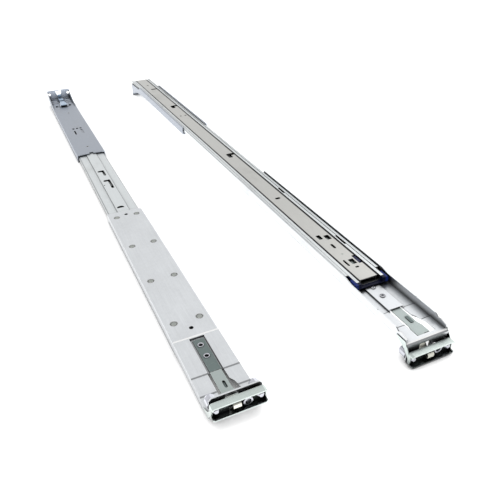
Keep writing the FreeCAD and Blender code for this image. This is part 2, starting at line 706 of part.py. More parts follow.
# ---------------------------------------------------------------- assembly
PIECES = {
    "front_bracket": front_bracket,
    "bracket_rivets": bracket_rivets,
    "front_cap": front_cap,
    "pin_housings": pin_housings,
    "locating_pin_a": lambda: locating_pin(-1),
    "locating_pin_b": lambda: locating_pin(1),
    "screw_bushing": screw_bushing,
    "latch_spring": latch_spring,
    "latch_rivets": latch_rivets,
    "latch_tongue": latch_tongue,
    "latch_hook": latch_hook,
    "cabinet_member": cabinet_member,
    "outer_cage": lambda: cage(*OUTER_CAGE, 0.6),
    "outer_balls": lambda: balls(*OUTER_CAGE),
    "middle_member": middle_member,
    "end_guide": end_guide,
    "inner_cage": lambda: cage(*INNER_CAGE, 0.5),
    "inner_balls": lambda: balls(*INNER_CAGE),
    "inner_member": inner_member,
    "release_lever": release_lever,
    "release_tab": release_tab,
    "release_pivot": release_pivot,
    "rear_bracket": rear_bracket,
    "guide_studs": guide_studs,
    "rear_latch": rear_latch,
    "rear_latch_pin": rear_latch_pin,
}


def place_left(shape):
    """Outer face up."""
    copy = shape.copy()
    copy.translate(V(-0.5 * SPACING, -MIDDLE_OF_LENGTH, LEFT_FACE_HEIGHT))
    return copy


def place_right(shape):
    """Mirror image, inner face up."""
    copy = shape.mirror(V(0, 0, 0), V(0, 0, 1))
    copy.translate(V(0.5 * SPACING, RIGHT_SHIFT - MIDDLE_OF_LENGTH, RIGHT_FACE_HEIGHT))
    return copy


def main():
    """Write one STEP file for each piece of each slide."""
    os.makedirs("parts", exist_ok=True)
    for name, build in PIECES.items():
        shape = build()
        for side, place in (("left", place_left), ("right", place_right)):
            placed = place(shape)
            placed.exportStep("parts/%s_%s.step" % (side, name))
            print(side, name, "solids", len(placed.Solids), "valid", placed.isValid(),
                  "volume %.1f" % placed.Volume)


main()
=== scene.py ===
"""Dresses a pair of server rails: finishes, fine turned pieces, studio and camera.

Lengths are in metres.  Each rail has its own frame: x across it, y along it from the
first pair of rivets to the rear, and w outwards from the outer face of its channel.
"""

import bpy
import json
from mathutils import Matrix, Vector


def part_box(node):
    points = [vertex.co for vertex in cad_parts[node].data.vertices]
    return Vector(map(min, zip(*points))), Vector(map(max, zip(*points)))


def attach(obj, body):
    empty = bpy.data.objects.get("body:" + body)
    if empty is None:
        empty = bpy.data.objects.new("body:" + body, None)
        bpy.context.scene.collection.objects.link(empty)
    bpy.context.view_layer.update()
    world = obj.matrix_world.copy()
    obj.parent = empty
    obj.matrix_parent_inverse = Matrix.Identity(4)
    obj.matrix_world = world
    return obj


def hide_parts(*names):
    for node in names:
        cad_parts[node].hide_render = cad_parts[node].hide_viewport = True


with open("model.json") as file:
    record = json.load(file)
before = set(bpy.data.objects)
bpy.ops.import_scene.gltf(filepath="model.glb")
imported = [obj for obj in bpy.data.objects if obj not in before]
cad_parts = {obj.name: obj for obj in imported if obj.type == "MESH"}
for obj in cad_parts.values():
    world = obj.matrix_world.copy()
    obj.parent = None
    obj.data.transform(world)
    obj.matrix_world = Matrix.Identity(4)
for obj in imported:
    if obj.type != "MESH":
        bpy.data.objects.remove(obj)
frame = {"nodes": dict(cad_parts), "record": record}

import json
import logging
import math
from dataclasses import dataclass
from enum import Enum, IntEnum
from typing import Dict, List, Optional, Sequence, Set, Tuple, Union

import bmesh
import bpy
from mathutils import Matrix, Vector

logging.basicConfig(level=logging.INFO, format="%(name)s: %(message)s")
LOG = logging.getLogger("rails")
MM = 0.001
EDGE_ROUND = 0.12 * MM         # broken edges of stamped and turned pieces
CAP_ROUND = 0.3 * MM           # softer edges of the drawn cap
NOTHING = 1e-7                 # a length that counts as none
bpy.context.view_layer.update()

Operand = Union["Wire", float]
Colour = Tuple[float, float, float]
Point = Tuple[float, float, float]
Profile = Sequence[Tuple[float, float]]
Placed = Sequence[Tuple[bpy.types.Mesh, Matrix]]


class Axis(IntEnum):
    """A direction: X across the rails, Y along them and Z up."""

    X = 0
    Y = 1
    Z = 2


# ------------------------------------------------------------------ shader maths
class Wire:
    """A node socket that can be used in arithmetic."""

    def __init__(self, net: "Net", socket: bpy.types.NodeSocket) -> None:
        """Keeps the socket and the net that it belongs to."""
        self.net = net
        self.socket = socket

    def _math(self, operation: str, first: Operand, second: Operand) -> "Wire":
        """Adds one Math node.

        Args:
            operation: The node's operation.
            first: Its first value.
            second: Its second value.

        Returns:
            The node's result.
        """
        return self.net.node("ShaderNodeMath", {"operation": operation}, {0: first, 1: second})

    def __add__(self, other: Operand) -> "Wire":
        """Sum."""
        return self._math("ADD", self, other)

    def __radd__(self, other: Operand) -> "Wire":
        """Sum, with the number first."""
        return self._math("ADD", other, self)

    def __sub__(self, other: Operand) -> "Wire":
        """Difference."""
        return self._math("SUBTRACT", self, other)

    def __rsub__(self, other: Operand) -> "Wire":
        """Difference, with the number first."""
        return self._math("SUBTRACT", other, self)

    def __mul__(self, other: Operand) -> "Wire":
        """Product."""
        return self._math("MULTIPLY", self, other)

    def __rmul__(self, other: Operand) -> "Wire":
        """Product, with the number first."""
        return self._math("MULTIPLY", other, self)

    def __pow__(self, other: Operand) -> "Wire":
        """Power."""
        return self._math("POWER", self, other)

    def __rpow__(self, other: Operand) -> "Wire":
        """Power, with the number as its base."""
        return self._math("POWER", other, self)

    def __abs__(self) -> "Wire":
        """Size without the sign."""
        return self.net.node("ShaderNodeMath", {"operation": "ABSOLUTE"}, {0: self})

    def above(self, low: float, high: float) -> "Wire":
        """A smooth step from 0 at low to 1 at high.

        Args:
            low: Where the step starts.
            high: Where the step ends.

        Returns:
            The stepped value.
        """
        settings = {"interpolation_type": "SMOOTHSTEP"}
        inputs = {"Value": self, "From Min": low, "From Max": high}
        return self.net.node("ShaderNodeMapRange", settings, inputs)

    def band(self, low: float, risen: float, falling: float, high: float) -> "Wire":
        """A smooth step up and another down.

        Args:
            low: Where the step up starts.
            risen: Where the step up ends.
            falling: Where the step down starts.
            high: Where the step down ends.

        Returns:
            1 inside the band and 0 outside it.
        """
        return self.above(low, risen) * (1.0 - self.above(falling, high))


@dataclass(frozen=True)
class Pattern:
    """A noise over a piece: its cycles to a metre along X, Y and Z, and its finer levels."""

    cycles: Tuple[float, float, float]
    detail: float
    rough: float


ROLLING_GRAIN = Pattern((1900.0, 26.0, 1900.0), 4.0, 0.65)
PLATING_CLOUDS = Pattern((46.0, 30.0, 46.0), 5.0, 0.6)
PLATING_SPECKS = Pattern((420.0, 300.0, 420.0), 3.0, 0.7)
SCRATCHES = Pattern((310.0, 2600.0, 310.0), 2.0, 0.5)
STAINS = Pattern((18.0, 11.0, 24.0), 6.0, 0.62)
SPARK_TEXTURE = Pattern((2400.0, 2400.0, 2400.0), 2.0, 0.5)
RUBBED_PATCHES = Pattern((60.0, 60.0, 60.0), 4.0, 0.6)
PAPER_FIBRE = Pattern((90.0, 90.0, 90.0), 3.0, 0.5)


class Net:
    """The node tree of one material or world."""

    def __init__(self, tree: bpy.types.NodeTree) -> None:
        """Empties the tree."""
        self.tree = tree
        tree.nodes.clear()

    def node(self, kind: str, settings: Optional[dict] = None, inputs: Optional[dict] = None,
             output: Union[int, str] = 0) -> Wire:
        """Adds a node.

        Args:
            kind: The node's type.
            settings: Its properties, which are set first.
            inputs: Values or wires for its sockets, by name or number.
            output: The socket to return, by name or number.

        Returns:
            The chosen output, or the first input of a node that has no outputs.
        """
        made = self.tree.nodes.new(kind)
        for key, value in (settings or {}).items():
            setattr(made, key, value)
        for key, value in (inputs or {}).items():
            if isinstance(value, Wire):
                self.tree.links.new(value.socket, made.inputs[key])
            else:
                made.inputs[key].default_value = value
        return Wire(self, made.outputs[output] if len(made.outputs) else made.inputs[0])

    def noise(self, pattern: Pattern) -> Wire:
        """Noise over the coordinates of the piece.

        Args:
            pattern: Its cycles and levels.

        Returns:
            The noise, from 0 to 1.
        """
        where = self.node("ShaderNodeTexCoord", output="Object")
        stretched = self.node("ShaderNodeVectorMath", {"operation": "MULTIPLY"},
                              {0: where, 1: pattern.cycles})
        inputs = {"Vector": stretched, "Scale": 1.0, "Detail": pattern.detail,
                  "Roughness": pattern.rough}
        return self.node("ShaderNodeTexNoise", {}, inputs, "Fac")

    def share(self, axis: Axis) -> Wire:
        """How far along a piece a place is.

        Args:
            axis: The direction.

        Returns:
            0 at one end of the piece and 1 at the other.
        """
        where = self.node("ShaderNodeTexCoord", output="Generated")
        return self.node("ShaderNodeSeparateXYZ", {}, {0: where}, int(axis))

    def openness(self, reach: float) -> Wire:
        """How open the surface is to the air.

        Args:
            reach: How far away a covering surface still counts.

        Returns:
            1 on open faces, towards 0 in gaps and corners.
        """
        return self.node("ShaderNodeAmbientOcclusion", {"samples": 6}, {"Distance": reach}, "AO")

    def facing(self, axis: Axis) -> Wire:
        """How squarely a flat face looks along an axis.

        Args:
            axis: The direction.

        Returns:
            0 on faces that hold the axis, 1 on those across it.
        """
        normal = self.node("ShaderNodeNewGeometry", output="True Normal")
        return abs(self.node("ShaderNodeSeparateXYZ", {}, {0: normal}, int(axis)))

    def edge(self, radius: float) -> Wire:
        """How close the surface is to a sharp edge.

        Args:
            radius: How far the edge reaches.

        Returns:
            0 on plain faces, towards 1 on edges.
        """
        rounded = self.node("ShaderNodeBevel", {"samples": 4}, {"Radius": radius})
        flat = self.node("ShaderNodeNewGeometry", output="True Normal")
        match = self.node("ShaderNodeVectorMath", {"operation": "DOT_PRODUCT"},
                          {0: rounded, 1: flat}, "Value")
        return (1.0 - match).above(0.02, 0.25)

    def crease(self, place: float, half: float) -> Wire:
        """A thin line across a piece.

        Args:
            place: Where the line lies, as a share of the piece's length.
            half: Half its width, in the same measure.

        Returns:
            1 on the line and 0 away from it.
        """
        return 1.0 - abs(self.share(Axis.Y) - place).above(0.6 * half, half)

    def margin(self, width: float) -> Wire:
        """The two long edges of a piece, where it turns down into a gap.

        Args:
            width: Width of each edge, as a share of the piece's width.

        Returns:
            1 on the edges and 0 between them.
        """
        return abs(self.share(Axis.X) - 0.5).above(0.5 - width, 0.5 - 0.7 * width)

    def backdrop(self) -> Wire:
        """Rays that show the background, so that metal reflects it too.

        Returns:
            1 for camera, glossy and transmission rays, and 0 for the rest.
        """
        kinds = ("Is Camera Ray", "Is Glossy Ray", "Is Transmission Ray")
        camera, glossy, through = (self.node("ShaderNodeLightPath", output=kind) for kind in kinds)
        return (camera + glossy + through).above(0.0, 0.5)

    def relief(self, strength: float, height: Wire) -> Wire:
        """Fine relief of a surface.

        Args:
            strength: How strongly it shows.
            height: The height, from 0 to 1.

        Returns:
            The normal.
        """
        inputs = {"Strength": strength, "Distance": 0.2 * MM, "Height": height}
        return self.node("ShaderNodeBump", {}, inputs, "Normal")

    def tint(self, amount: Operand, low: Union[Wire, Colour], high: Union[Wire, Colour]) -> Wire:
        """Mixes two colours.

        Args:
            amount: 0 for the first, 1 for the second.
            low: The first colour.
            high: The second colour.

        Returns:
            The mixed colour.
        """
        first, second = (colour if isinstance(colour, Wire) else (*colour, 1.0)
                         for colour in (low, high))
        inputs = {0: amount, 6: first, 7: second}
        return self.node("ShaderNodeMix", {"data_type": "RGBA"}, inputs, 2)

    def surface(self, inputs: dict) -> None:
        """Closes a material with one shader.

        Args:
            inputs: Values or wires for the shader's sockets.
        """
        shader = self.node("ShaderNodeBsdfPrincipled", {}, inputs)
        self.node("ShaderNodeOutputMaterial", {}, {"Surface": shader})


# ------------------------------------------------------------------ finishes
STEP_CREST = (0.27, 0.30, 0.33, 0.36)     # lean of the crest of a pressed step, which gets a painted highlight
STEP_SLOPE = (0.34, 0.37, 0.72, 0.80)     # lean of its slope, which gets painted shade
RIB_SLOPE = (0.25, 0.45, 0.90, 0.97)      # lean of the slopes beside a rib, which get painted shade
LEVEL_FACE = (0.80, 0.90)                 # lean of a face that lies flat
CROSS_FACE = (0.80, 0.95)                 # lean of a face across the rail, which gets painted light
CREASE_HALF = 0.0022                      # half a painted shade line at a crease, as a share of the length
EDGE_HIGHLIGHT = 0.35 * MM                     # how far the painted highlight and wear of an edge reaches
MARGIN_SHADE = (0.012, 0.012, 0.014)        # colour of the painted shade on the long edges of a piece


@dataclass(frozen=True)
class Finish:
    """A finish that can be laid on a piece; its name is that of the material slot."""

    name: str
    colour: Colour

    def shade(self, factor: float) -> Colour:
        """The finish's colour made darker or lighter.

        Args:
            factor: What each channel is multiplied by.

        Returns:
            The colour, no brighter than white.
        """
        red, green, blue = (min(1.0, factor * channel) for channel in self.colour)
        return red, green, blue

    def build(self) -> bpy.types.Material:
        """Makes the material once and finds it afterwards.

        Returns:
            The material.
        """
        title = f"{self.name}_finish"
        found = bpy.data.materials.get(title)
        if found:
            return found
        made = bpy.data.materials.new(title)
        made.use_nodes = True
        self.fill(Net(made.node_tree))
        return made

    def fill(self, net: Net) -> None:
        """Fills the node tree."""
        raise NotImplementedError


@dataclass(frozen=True)
class PlatedSteel(Finish):
    """Zinc-plated sheet: rolling grain along the rail, cloudy plating, stains and scratches, with
    painted shade and painted highlights.

    Attributes:
        worn: Colour of scratches, and of painted highlights and wear on edges and step crests.
        stain: Colour of the stains.
        soot: Colour of the painted shade in the deepest gaps.
        roughness: Middle roughness.
        grain: Strength of the rolling grain.
        cloud: Strength of the clouds.
        staining: How far the stains cover the plating.
        bump: Strength of the relief.
        reach: How far a covering surface throws painted shade.
        grime: How quickly the painted shade fades, as a power.
        pressing: How strongly the painted highlight and shade of pressed steps and the painted
            shade lines at creases show.
        creases: Pressed lines across the piece, which get painted shade lines, as shares of its
            length.
        rim: How strongly the painted highlight and wear on edges show.
        ribs: How strongly painted shade shows on the slopes beside a rib.
        margin: Width of the painted shade on the long edges, as a share of the piece's width.
        hollow: How far the walls of a channel shade its floor.
        flange: How much painted light brightens the faces across the rail.
    """

    worn: Colour = (0.93, 0.93, 0.92)
    stain: Colour = (0.42, 0.42, 0.40)
    soot: Colour = (0.016, 0.016, 0.018)
    roughness: float = 0.36
    grain: float = 0.10
    cloud: float = 0.10
    staining: float = 0.25
    bump: float = 0.10
    reach: float = 4.0 * MM
    grime: float = 2.0
    pressing: float = 0.0
    creases: Tuple[float, ...] = ()
    rim: float = 0.6
    ribs: float = 0.0
    margin: float = 0.0
    hollow: float = 22.0 * MM
    flange: float = 0.0

    def fill(self, net: Net) -> None:
        """Fills the node tree.

        Args:
            net: The node tree.
        """
        grain = net.noise(ROLLING_GRAIN)
        cloud = net.noise(PLATING_CLOUDS)
        speck = net.noise(PLATING_SPECKS)
        scratch = net.noise(SCRATCHES).above(0.66, 0.72)
        stain = net.noise(STAINS).above(0.56, 0.74) * self.staining
        light = ((cloud - 0.5) * self.cloud + (grain - 0.5) * self.grain
                 + (speck - 0.5) * (0.5 * self.grain))
        plated = net.tint((0.5 + light).above(0.0, 1.0), self.shade(0.72), self.shade(1.28))
        stained = net.tint(stain, plated, self.stain)
        scratched = net.tint(scratch * 0.18, stained, self.worn)
        net.surface({
            "Base Color": self.shaded(net, self.pressed(net, scratched)),
            "Metallic": 1.0,
            "Roughness": (self.roughness + (cloud - 0.5) * 0.16 + (grain - 0.5) * 0.14
                          + stain * 0.4),
            "Normal": net.relief(self.bump, grain * 0.6 + speck * 0.4 - scratch * 0.25)})

    def pressed(self, net: Net, colour: Wire) -> Wire:
        """Paints light and shade by the lean of faces: highlights on step crests, shade on step
        slopes, creases and rib slopes, highlights and wear on edges, and light on faces across the
        rail.

        Args:
            net: The node tree.
            colour: The colour of the flat sheet.

        Returns:
            The marked colour.
        """
        # colour of the painted shade on slopes and creases
        painted_shade = self.shade(0.30)
        lean = net.facing(Axis.Y)
        # painted highlight on the crest of each pressed step
        colour = net.tint(lean.band(*STEP_CREST) * self.pressing, colour, self.worn)
        # painted shade on the slope of each pressed step
        colour = net.tint(lean.band(*STEP_SLOPE) * self.pressing, colour, painted_shade)
        # painted shade lines on flat faces at the creases
        for place in self.creases:
            level = net.facing(Axis.Z).above(*LEVEL_FACE)
            line = net.crease(place, CREASE_HALF) * level
            colour = net.tint(line * self.pressing, colour, painted_shade)
        # painted shade on the slopes beside a rib
        colour = net.tint(net.facing(Axis.X).band(*RIB_SLOPE) * self.ribs, colour, painted_shade)
        # painted highlight, with wear, on sharp edges
        colour = net.tint(net.edge(EDGE_HIGHLIGHT) * self.rim, colour, self.worn)
        # painted light on faces across the rail
        if self.flange:
            colour = net.tint(lean.above(*CROSS_FACE) * self.flange, colour, self.shade(1.9))
        return colour

    def shaded(self, net: Net, colour: Wire) -> Wire:
        """Paints shade on channel floors, turned-down margins and gaps.

        Args:
            net: The node tree.
            colour: The colour in the open.

        Returns:
            The darkened colour.
        """
        # painted shade on channel floors, by how far the walls close them in
        colour = net.tint(net.openness(self.hollow), self.shade(0.48), colour)
        # painted shade on the long edges, where the plate turns down into a gap
        if self.margin:
            colour = net.tint(net.margin(self.margin), colour, MARGIN_SHADE)
        # painted shade in gaps and corners, darker the more closed in they are
        return net.tint(net.openness(self.reach) ** self.grime, self.soot, colour)


@dataclass(frozen=True)
class Moulding(Finish):
    """Moulded plastic with a fine spark-eroded texture, rubbed patches and painted shade in gaps.

    Attributes:
        rubbed: Colour of the rubbed patches and of the two lighter ends.
        soot: Colour of the painted shade in the deepest gaps.
        roughness: Middle roughness.
        ends: Width of the two lighter ends, as a share of the piece's width.
        gloss: Level of the shine.
    """

    rubbed: Colour = (0.10, 0.12, 0.30)
    soot: Colour = (0.001, 0.001, 0.004)
    roughness: float = 0.42
    ends: float = 0.0
    gloss: float = 0.25

    def fill(self, net: Net) -> None:
        """Fills the node tree.

        Args:
            net: The node tree.
        """
        texture = net.noise(SPARK_TEXTURE)
        patch = net.noise(RUBBED_PATCHES).above(0.5, 0.75)
        mixed = net.tint(patch * 0.35, self.colour, self.rubbed)
        if self.ends:
            # the two ends are lighter blue
            mixed = net.tint(net.margin(self.ends) * 0.6, mixed, self.rubbed)
        net.surface({
            # painted shade in gaps
            "Base Color": net.tint(net.openness(2.0 * MM), self.soot, mixed),
            "Metallic": 0.0,
            "Roughness": self.roughness + (texture - 0.5) * 0.2 - patch * 0.1,
            "Specular IOR Level": self.gloss,
            "Normal": net.relief(0.15, texture)})


class Coat(Enum):
    """The finishes of the pair; each is named after its material slot, in capitals."""

    ZINC_SHEET = PlatedSteel("zinc_sheet", (0.66, 0.68, 0.70), grain=0.34, cloud=0.26,
                             grime=1.5, pressing=0.85, creases=(0.1215,))
    REAR_ZINC = PlatedSteel("rear_zinc", (0.37, 0.40, 0.45), roughness=0.42, cloud=0.16,
                            grain=0.2, hollow=8.0 * MM, flange=0.9)
    SLIDE_STEEL = PlatedSteel("slide_steel", (0.67, 0.70, 0.71), staining=0.35, grain=0.25,
                              reach=8.0 * MM, grime=2.6, ribs=0.7)
    INNER_STEEL = PlatedSteel("inner_steel", (0.52, 0.52, 0.50), staining=0.4, grain=0.25,
                              margin=0.085)
    CAP_NICKEL = PlatedSteel("cap_nickel", (0.56, 0.62, 0.60), roughness=0.24, bump=0.05,
                             reach=9.0 * MM, grime=4.0, cloud=0.4)
    BRIGHT_STEEL = PlatedSteel("bright_steel", (0.56, 0.57, 0.62), roughness=0.22, bump=0.03,
                               staining=0.1)
    RIVET_STEEL = PlatedSteel("rivet_steel", (0.34, 0.36, 0.34), roughness=0.4, staining=0.5,
                              reach=2.0 * MM)
    SPRING_STEEL = PlatedSteel("spring_steel", (0.17, 0.21, 0.205), roughness=0.45,
                               stain=(0.09, 0.10, 0.10))
    TONGUE_STEEL = PlatedSteel("tongue_steel", (0.40, 0.45, 0.44), roughness=0.38)
    LATCH_STEEL = PlatedSteel("latch_steel", (0.50, 0.60, 0.72), roughness=0.24, staining=0.15)
    HOOK_STEEL = PlatedSteel("hook_steel", (0.80, 0.80, 0.70), roughness=0.30, staining=0.15)
    CAGE_STEEL = PlatedSteel("cage_steel", (0.30, 0.30, 0.30), roughness=0.4)
    BALL_STEEL = PlatedSteel("ball_steel", (0.70, 0.70, 0.70), roughness=0.10, bump=0.0,
                             staining=0.05)
    NAVY_PLASTIC = Moulding("navy_plastic", (0.001, 0.002, 0.016), rubbed=(0.01, 0.03, 0.22),
                            ends=0.10, gloss=0.15)
    BLUE_PLASTIC = Moulding("blue_plastic", (0.002, 0.005, 0.045), rubbed=(0.02, 0.05, 0.25))

    @property
    def slot(self) -> str:
        """The material slot that the finish is for."""
        return self.value.name

    def material(self) -> bpy.types.Material:
        """The finish as a material."""
        return self.value.build()


SLOT_OF: Dict[str, str] = {part["node"]: part["material_slot"]
                           for part in frame["record"]["subparts"]}


# ------------------------------------------------------------------ meshes
def finished(made: bmesh.types.BMesh, name: str) -> bpy.types.Mesh:
    """Turns a mesh under work into one that an object can hold.

    Args:
        made: The mesh under work, which is freed.
        name: The new mesh's name.

    Returns:
        The new mesh.
    """
    mesh = bpy.data.meshes.new(name)
    made.to_mesh(mesh)
    made.free()
    return mesh


def placed_in_scene(name: str, data: bpy.types.ID) -> bpy.types.Object:
    """Puts an object into the scene.

    Args:
        name: The object's name.
        data: Its mesh, light or camera.

    Returns:
        The object.
    """
    thing = bpy.data.objects.new(name, data)
    bpy.context.scene.collection.objects.link(thing)
    return thing


def join(name: str, placed: Placed) -> bpy.types.Object:
    """Joins placed meshes into one smooth object.

    Args:
        name: The object's name.
        placed: Pairs of mesh and matrix.

    Returns:
        The object.
    """
    made = bmesh.new()
    for mesh, matrix in placed:
        copy = mesh.copy()
        copy.transform(matrix)
        if matrix.determinant() < 0.0:
            copy.flip_normals()
        made.from_mesh(copy)
        bpy.data.meshes.remove(copy)
    mesh = finished(made, name)
    for face in mesh.polygons:
        face.use_smooth = True
    return placed_in_scene(name, mesh)


@dataclass
class Lathe:
    """A turned piece: a profile of (radius, height) pairs swept round an axis."""

    profile: Profile
    steps: int = 32

    def mesh(self, name: str) -> bpy.types.Mesh:
        """Sweeps the profile.

        Args:
            name: The mesh's name.

        Returns:
            A mesh about the local Z axis.
        """
        made = bmesh.new()
        rings = [self._ring(made, radius, height) for radius, height in self.profile]
        for low, high in zip(rings, rings[1:]):
            for step in range(self.steps):
                after = (step + 1) % self.steps
                corners = [low[step % len(low)], low[after % len(low)],
                           high[after % len(high)], high[step % len(high)]]
                unique = list(dict.fromkeys(corners))
                if len(unique) > 2:
                    made.faces.new(unique)
        bmesh.ops.recalc_face_normals(made, faces=made.faces)
        return finished(made, name)

    def _ring(self, made: bmesh.types.BMesh, radius: float, height: float) -> list:
        """Adds the points of one height.

        Args:
            made: The mesh under work.
            radius: Distance from the axis.
            height: Place along the axis.

        Returns:
            A ring of points, or one point on the axis.
        """
        if radius < NOTHING:
            return [made.verts.new((0.0, 0.0, height))]
        turns = [2.0 * math.pi * step / self.steps for step in range(self.steps)]
        return [made.verts.new((radius * math.cos(turn), radius * math.sin(turn), height))
                for turn in turns]


@dataclass
class Slab:
    """A flat piece of sheet with rounded corners and broken edges.

    Attributes:
        low: One corner.
        high: The opposite corner.
        corner: Radius of the upright edges.
        corner_steps: Facets of that rounding.
        sharp: Edges that turn by more than this are broken, in radians.
        sharp_steps: Facets of a broken edge.
    """

    low: Point
    high: Point
    corner: float
    corner_steps: int = 5
    sharp: float = 1.2
    sharp_steps: int = 2

    def mesh(self, name: str) -> bpy.types.Mesh:
        """Makes the slab.

        Args:
            name: The mesh's name.

        Returns:
            A closed mesh between the two corners.
        """
        made = bmesh.new()
        bmesh.ops.create_cube(made, size=1.0)
        for vert in made.verts:
            for low, high, axis in zip(self.low, self.high, range(3)):
                vert.co[axis] = low + (vert.co[axis] + 0.5) * (high - low)
        upright = [edge for edge in made.edges
                   if abs(edge.verts[0].co[2] - edge.verts[1].co[2]) > NOTHING]
        self._round(made, upright, self.corner, self.corner_steps)
        around = [edge for edge in made.edges if edge.calc_face_angle(0.0) > self.sharp]
        self._round(made, around, EDGE_ROUND, self.sharp_steps)
        return finished(made, name)

    @staticmethod
    def _round(made: bmesh.types.BMesh, edges: list, width: float, steps: int) -> None:
        """Rounds edges.

        Args:
            made: The mesh under work.
            edges: The edges.
            width: Width of the rounding.
            steps: Facets of the rounding.
        """
        bmesh.ops.bevel(made, geom=edges, offset=width, segments=steps, profile=0.5,
                        affect="EDGES")


# ------------------------------------------------------------------ rails
class Side(Enum):
    """Which slide of the pair."""

    LEFT = "left"
    RIGHT = "right"

    def node(self, name: str) -> str:
        """Name of this slide's node or body."""
        return f"{self.value}_{name}"


@dataclass
class Rail:
    """One slide of the pair, with the sizes that its parts share.

    Attributes:
        side: Which slide it is.
        pin_height: Axis of the locating pins above the outer face.
        cap_front: Front edge of the cap.
        edge_steps: Facets of a rounded edge.
        edge_angle: Edges that turn by more than this are rounded, in degrees.
    """

    side: Side
    pin_height: float = 8.75 * MM
    cap_front: float = -306.0 * MM
    edge_steps: int = 2
    edge_angle: float = 40.0

    def __post_init__(self) -> None:
        """Finds the rail's frame."""
        self.place = self._frame()

    def _frame(self) -> Matrix:
        """The way from the rail's own frame to the row frame.

        Returns:
            The matrix; on the right rail it mirrors w.
        """
        low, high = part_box(self.side.node("locating_pin_a"))
        low_b, high_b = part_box(self.side.node("locating_pin_b"))
        centre_x = 0.25 * (low[0] + high[0] + low_b[0] + high_b[0])
        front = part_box(self.side.node("front_cap"))[0][1]
        outward = 1.0 if self.side is Side.LEFT else -1.0
        face = 0.5 * (low[2] + high[2]) - outward * self.pin_height
        move = Matrix.Translation(Vector((centre_x, front - self.cap_front, face)))
        return move @ Matrix.Diagonal(Vector((1.0, 1.0, outward, 1.0)))

    def dress(self, name: str, width: float = EDGE_ROUND) -> None:
        """Lays the finish of its slot on a CAD node and rounds its edges.

        Args:
            name: The node's name without the side.
            width: Width of the rounding.
        """
        thing = frame["nodes"][self.side.node(name)]
        coat = Coat[SLOT_OF[thing.name].upper()]
        finish = coat.material()
        if not thing.material_slots:
            thing.data.materials.append(finish)
        for holder in thing.material_slots:
            holder.material = finish
        rounding = thing.modifiers.new("edges", "BEVEL")
        rounding.width = width
        rounding.segments = self.edge_steps
        rounding.limit_method = "ANGLE"
        rounding.angle_limit = math.radians(self.edge_angle)
        rounding.harden_normals = True
        LOG.info("%s dressed in %s", thing.name, coat.slot)

    def add(self, name: str, coat: Coat, body: str, placed: Placed,
            replaces: Sequence[str] = ()) -> None:
        """Adds a piece made here.

        Args:
            name: The piece's name without the side.
            coat: Its finish.
            body: The body that it rides on.
            placed: Pairs of mesh and matrix in the rail's frame.
            replaces: CAD nodes that it stands for.
        """
        thing = join(self.side.node(name), [(mesh, self.place @ matrix) for mesh, matrix in placed])
        thing.data.materials.append(coat.material())
        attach(thing, self.side.node(body))
        if replaces:
            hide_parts(*[self.side.node(node) for node in replaces])
        LOG.info("%s made, finish %s, rides on %s", thing.name, coat.slot, self.side.node(body))


